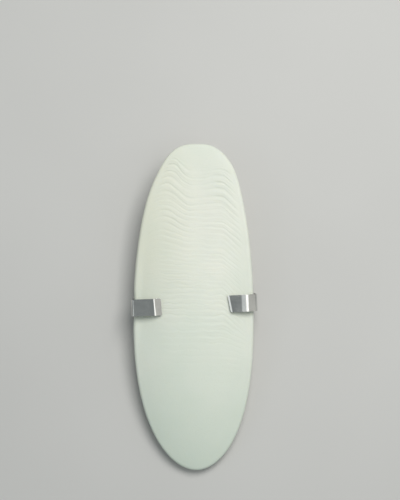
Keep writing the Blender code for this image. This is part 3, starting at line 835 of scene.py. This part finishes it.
class Nodes:
    """Short calls for the nodes of one material."""

    def __init__(self, name):
        self.material = bpy.data.materials.new(name)
        self.material.use_nodes = True
        self.tree = self.material.node_tree
        self.shader = self.tree.nodes["Principled BSDF"]

    def link(self, out, target):
        """Join an output to an input."""
        self.tree.links.new(out, target)

    def coords(self):
        """Object coordinates, in metres."""
        return self.tree.nodes.new("ShaderNodeTexCoord").outputs["Object"]

    def value(self, name, output="Fac"):
        """The named attribute of the piece."""
        node = self.tree.nodes.new("ShaderNodeAttribute")
        node.attribute_name = name
        return node.outputs[output]

    def part(self, source, name):
        """One part of a vector."""
        node = self.tree.nodes.new("ShaderNodeSeparateXYZ")
        self.link(source, node.inputs[0])
        return node.outputs[name]

    def stretched(self, source, scale):
        """The vector with each part scaled."""
        node = self.tree.nodes.new("ShaderNodeMapping")
        node.inputs["Scale"].default_value = scale
        self.link(source, node.inputs["Vector"])
        return node.outputs["Vector"]

    def noise(self, source, scale, detail=3.0, rough=0.55):
        """Noise between about 0.2 and 0.8."""
        node = self.tree.nodes.new("ShaderNodeTexNoise")
        node.inputs["Scale"].default_value = scale
        node.inputs["Detail"].default_value = detail
        node.inputs["Roughness"].default_value = rough
        self.link(source, node.inputs["Vector"])
        return node.outputs["Fac"]

    def cells(self, source, scale):
        """Distance to the nearest of scattered points."""
        node = self.tree.nodes.new("ShaderNodeTexVoronoi")
        node.inputs["Scale"].default_value = scale
        self.link(source, node.inputs["Vector"])
        return node.outputs["Distance"]

    def span(self, source, low, high, to_low=0.0, to_high=1.0):
        """The value moved from one range to another, held at its ends."""
        node = self.tree.nodes.new("ShaderNodeMapRange")
        self.link(source, node.inputs["Value"])
        node.inputs["From Min"].default_value = low
        node.inputs["From Max"].default_value = high
        node.inputs["To Min"].default_value = to_low
        node.inputs["To Max"].default_value = to_high
        return node.outputs["Result"]

    def math(self, kind, a, b):
        """A sum, product or other join of two values, either of which may be a number."""
        node = self.tree.nodes.new("ShaderNodeMath")
        node.operation = kind
        for socket, given in zip(node.inputs, (a, b)):
            if isinstance(given, (int, float)):
                socket.default_value = given
            else:
                self.link(given, socket)
        return node.outputs["Value"]

    def times(self, a, b):
        """The product of two values."""
        return self.math("MULTIPLY", a, b)

    def mix(self, amount, a, b):
        """A colour between a and b."""
        node = self.tree.nodes.new("ShaderNodeMix")
        node.data_type = "RGBA"
        for socket, given in ((node.inputs[0], amount), (node.inputs[6], a), (node.inputs[7], b)):
            if isinstance(given, tuple):
                socket.default_value = (*given, 1.0)
            elif isinstance(given, float):
                socket.default_value = given
            else:
                self.link(given, socket)
        return node.outputs[2]

    def veil(self, under, color, share, amount):
        """A colour laid over another, as far as the amount says and at most by the share."""
        return self.mix(self.times(amount, share), under, color)

    def bump(self, height, strength, distance, under=None):
        """A bump in metres, over an earlier one."""
        node = self.tree.nodes.new("ShaderNodeBump")
        node.inputs["Strength"].default_value = strength
        node.inputs["Distance"].default_value = distance
        self.link(height, node.inputs["Height"])
        if under is not None:
            self.link(under, node.inputs["Normal"])
        return node.outputs["Normal"]


def chalk_material():
    """Dry chalk: cream and cool patches, dark hairlines along the growth lines, pores and grain."""
    n = Nodes("chalk")
    place = n.coords()
    x, y = n.part(place, "X"), n.part(place, "Y")
    growth = n.value("growth", "Vector")
    ledged, hard, rim = n.value("ledged"), n.value("hard_back"), n.value("rim")

    # The face: patches, two slow tints, hairlines, the shade of the ledges, specks and the layers
    patches = n.span(n.noise(place, scale=38.0), low=0.35, high=0.65)
    face = n.mix(patches, COOL_CHALK, PALE_CHALK)
    face = n.veil(face, THIN_END_TINT, 0.6, n.span(y, low=0.01, high=-0.06))
    to_left = n.times(n.span(x, low=0.004, high=-0.018), n.span(y, low=-0.01, high=0.02))
    face = n.veil(face, LEFT_TINT, 0.5, to_left)
    lines = n.noise(n.stretched(growth, (0.35, 9.0, 1.0)), scale=2.2, detail=4.0, rough=0.65)
    face = n.veil(face, HAIRLINE, 0.14, n.times(n.span(lines, low=0.46, high=0.3), ledged))
    face = n.veil(face, LEDGE_SHADE, 0.16, n.value("line_shade"))
    face = n.veil(face, SPECK, 0.12, n.span(n.cells(place, scale=900.0), low=0.3, high=0.05))
    layers = n.stretched(n.value("layers", "Vector"), (1.0, 1.0, 11.0))
    layers = n.noise(layers, scale=2.4, detail=4.0, rough=0.6)
    face = n.veil(face, LAYER_SHADE, 0.55, n.times(n.span(layers, low=0.52, high=0.36), rim))

    # The hard back and the seam along its edge
    arcs = n.noise(n.stretched(growth, (0.5, 5.0, 1.0)), scale=1.1)
    back = n.mix(n.span(arcs, low=0.4, high=0.6), DARK_BACK, PALE_BACK)
    whole = n.mix(hard, face, back)
    broken = n.span(n.noise(place, scale=160.0), low=0.3, high=0.6, to_low=0.25, to_high=0.75)
    whole = n.mix(n.times(n.value("margin"), broken), whole, SEAM)
    n.link(whole, n.shader.inputs["Base Color"])

    # Fine relief, in metres: grain and pores, hairlines, layers, and grains on the hard back
    grain = n.noise(place, scale=2600.0, detail=2.0, rough=0.7)
    pores = n.times(n.span(n.cells(place, scale=1500.0), low=0.0, high=0.35), 0.5)
    beads = n.span(n.cells(place, scale=1300.0), low=0.5, high=0.0)
    normal = n.bump(n.math("ADD", grain, pores), strength=0.5, distance=0.00006)
    normal = n.bump(n.times(lines, ledged), strength=0.35, distance=0.00012, under=normal)
    normal = n.bump(n.times(layers, rim), strength=0.8, distance=0.0004, under=normal)
    normal = n.bump(n.times(beads, hard), strength=0.6, distance=0.00012, under=normal)
    n.link(normal, n.shader.inputs["Normal"])

    rough = n.span(hard, low=0.0, high=1.0, to_low=0.9, to_high=0.62)
    n.link(rough, n.shader.inputs["Roughness"])
    n.shader.inputs["Specular IOR Level"].default_value = 0.3
    n.shader.inputs["Subsurface Weight"].default_value = 0.12
    n.shader.inputs["Subsurface Radius"].default_value = (0.001, 0.0009, 0.0007)
    n.shader.inputs["Subsurface Scale"].default_value = 1.0
    return n.material


def metal_material():
    """Bright plated sheet: fine scratches along the strip, dull and bright patches."""
    n = Nodes("plated_steel")
    place = n.coords()
    scratches = n.noise(n.stretched(place, (0.15, 4.0, 1.0)), scale=900.0, rough=0.6)
    patches = n.span(n.noise(place, scale=240.0), low=0.3, high=0.7)
    n.link(n.mix(patches, DULL_METAL, BRIGHT_METAL), n.shader.inputs["Base Color"])
    rough = n.span(scratches, low=0.3, high=0.7, to_low=0.07, to_high=0.14)
    n.link(rough, n.shader.inputs["Roughness"])
    n.link(n.bump(scratches, strength=0.08, distance=0.000005), n.shader.inputs["Normal"])
    n.shader.inputs["Metallic"].default_value = 1.0
    return n.material


def floor_material():
    """Plain pale paper, a little mottled."""
    n = Nodes("pale_floor")
    mottle = n.span(n.noise(n.coords(), scale=9.0, detail=2.0), low=0.3, high=0.7)
    n.link(n.mix(mottle, DARK_FLOOR, PALE_FLOOR), n.shader.inputs["Base Color"])
    n.shader.inputs["Roughness"].default_value = 0.9
    return n.material


# Studio

PHOTO_WIDTH, PHOTO_HEIGHT = 400.0, 500.0
PIXELS_PER_MM = 2.575
BONE_MIDDLE_PIXEL = (194.5, 307.1)
LENS = 100.0
SENSOR = 36.0
AIM_HEIGHT = 8.0
SEEN_FROM = 0.01
SEEN_TO = 20.0
FLOOR_REACH = 1.6
SKY_COLOR = (0.9, 0.98, 1.0, 1.0)
SKY_STRENGTH = 0.28
LIGHT_AIM = (0.0, 0.0, 0.01)

# Each light: name, place and size in metres, power in watts, colour
LIGHTS = (
    ("key", (0.11, 0.18, 0.475), (0.26, 0.26), 1.77, (1.0, 0.98, 0.94)),
    ("strip", (0.18, -0.055, 0.5), (0.1, 0.2), 0.095, (1.0, 0.99, 0.96)),
    ("dim_strip", (0.1015, -0.055, 0.5), (0.054, 0.2), 0.015, (0.95, 0.99, 1.0)),
    ("right_panel", (0.43, -0.045, 0.34), (0.54, 0.25), 0.14, (1.0, 0.94, 0.85)),
    ("left_panel", (-0.33, -0.04, 0.38), (0.12, 0.25), 0.075, (0.96, 0.99, 1.0)),
)


def place_camera():
    """A long lens square to the bone's face, as far off as makes the bone its size in the photograph."""
    view_height = PHOTO_HEIGHT / PIXELS_PER_MM
    distance = LENS * view_height / SENSOR
    aim_x = (0.5 * PHOTO_WIDTH - BONE_MIDDLE_PIXEL[0]) / PIXELS_PER_MM
    aim_y = (BONE_MIDDLE_PIXEL[1] - 0.5 * PHOTO_HEIGHT) / PIXELS_PER_MM
    eye = rest(np.array([[aim_x, aim_y, AIM_HEIGHT + distance]]))[0]
    data = bpy.data.cameras.new("camera")
    data.lens = LENS
    data.sensor_width = SENSOR
    data.clip_start = SEEN_FROM
    data.clip_end = SEEN_TO
    camera = bpy.data.objects.new("camera", data)
    camera.matrix_world = Matrix.Translation(Vector(eye)) @ Matrix(REST.tolist()).to_4x4()
    bpy.context.scene.collection.objects.link(camera)
    bpy.context.scene.camera = camera


def add_light(name, place, size, power, color):
    """A soft rectangular light turned to the object, its second size along the floor's Y."""
    data = bpy.data.lights.new(name, "AREA")
    data.shape = "RECTANGLE"
    data.size, data.size_y = size
    data.energy = power
    data.color = color
    light = bpy.data.objects.new(name, data)
    back = (Vector(place) - Vector(LIGHT_AIM)).normalized()
    across = Vector((0.0, 1.0, 0.0)).cross(back).normalized()
    turn = Matrix((across, back.cross(across), back)).transposed()
    light.matrix_world = Matrix.Translation(Vector(place)) @ turn.to_4x4()
    bpy.context.scene.collection.objects.link(light)


def build_studio():
    """Floor, dim sky, a soft key past the blunt end, two strips up right and a panel low at each side."""
    corners = np.array([[-1.0, -1.0, 0.0], [1.0, -1.0, 0.0], [1.0, 1.0, 0.0], [-1.0, 1.0, 0.0]])
    floor = put_mesh("floor", FLOOR_REACH * corners, np.array([[0, 1, 2, 3]]), NO_TRIS, floor_material())
    world = bpy.data.worlds.new("sky")
    world.use_nodes = True
    sky = world.node_tree.nodes["Background"]
    sky.inputs["Color"].default_value = SKY_COLOR
    sky.inputs["Strength"].default_value = SKY_STRENGTH
    bpy.context.scene.world = world
    for light in LIGHTS:
        add_light(*light)


def main():
    """Both pieces in place of their plain solids, then the studio and the camera."""
    bone = build_bone(chalk_material())
    clip = build_clip(metal_material())
    for piece, node, finish in ((bone, "bone", "chalk"), (clip, "clip", "steel")):
        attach(piece, "root")
        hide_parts(node)
    build_studio()
    place_camera()
    bpy.context.scene.view_settings.view_transform = "Standard"


main()
